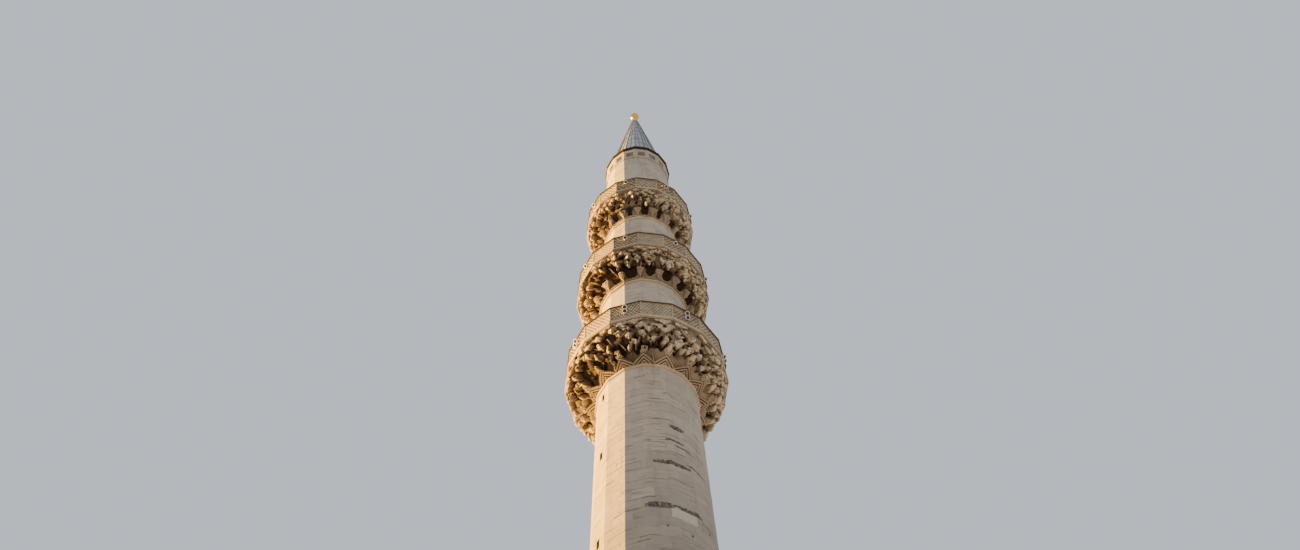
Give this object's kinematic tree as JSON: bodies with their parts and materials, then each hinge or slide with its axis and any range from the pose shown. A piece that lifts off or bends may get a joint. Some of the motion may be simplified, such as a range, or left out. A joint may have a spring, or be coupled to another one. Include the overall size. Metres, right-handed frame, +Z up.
{
  "type": "stone minaret with three balconies, 1:2 scale model",
  "caption": "Tall sixteen-sided stone minaret with a square hollow pedestal, corbelled balconies with pierced parapets, a lead-clad spire and a gilt finial.",
  "frame": {"origin": "centre of the footing's underside", "axes": "+Z up the tower, -Y out of the entrance and the balcony doorways, -X out of the loopholes"},
  "size_m": [2.25, 2.25, 25.95],
  "materials": {
    "limestone": "weathered ashlar with thin joints",
    "carved_stone": "carved and weathered",
    "pale_stone": "smooth, weathered",
    "lead": "dull lead sheet with seams",
    "gilding": "gilt, bright"
  },
  "bodies": {
    "root": {"footing": "limestone", "pedestal_wall_back": "limestone", "pedestal_wall_left": "limestone", "pedestal_wall_right": "limestone", "pedestal_front_left": "limestone", "pedestal_front_right": "limestone", "pedestal_door_arch": "limestone", "pedestal_cornice": "limestone", "transition": "limestone", "base_ring": "limestone", "shaft_wall_1": "limestone", "shaft_wall_2": "limestone", "shaft_wall_3": "limestone", "shaft_loophole_bay": "limestone", "balcony_1_corbel": "carved_stone", "balcony_1_floor": "pale_stone", "balcony_1_parapet_front": "pale_stone", "balcony_1_parapet_back": "pale_stone", "balcony_1_door_head": "limestone", "stage_2_wall_1": "limestone", "stage_2_wall_2": "limestone", "stage_2_wall_3": "limestone", "balcony_2_corbel": "carved_stone", "balcony_2_floor": "pale_stone", "balcony_2_parapet_front": "pale_stone", "balcony_2_parapet_back": "pale_stone", "balcony_2_door_head": "limestone", "stage_3_wall_1": "limestone", "stage_3_wall_2": "limestone", "stage_3_wall_3": "limestone", "balcony_3_corbel": "carved_stone", "balcony_3_floor": "pale_stone", "balcony_3_parapet_front": "pale_stone", "balcony_3_parapet_back": "pale_stone", "balcony_3_door_head": "limestone", "stage_4_wall_1": "limestone", "stage_4_wall_2": "limestone", "stage_4_wall_3": "limestone", "frieze": "pale_stone", "eave": "lead", "spire": "lead", "finial": "gilding"}
  },
  "joints": []
}
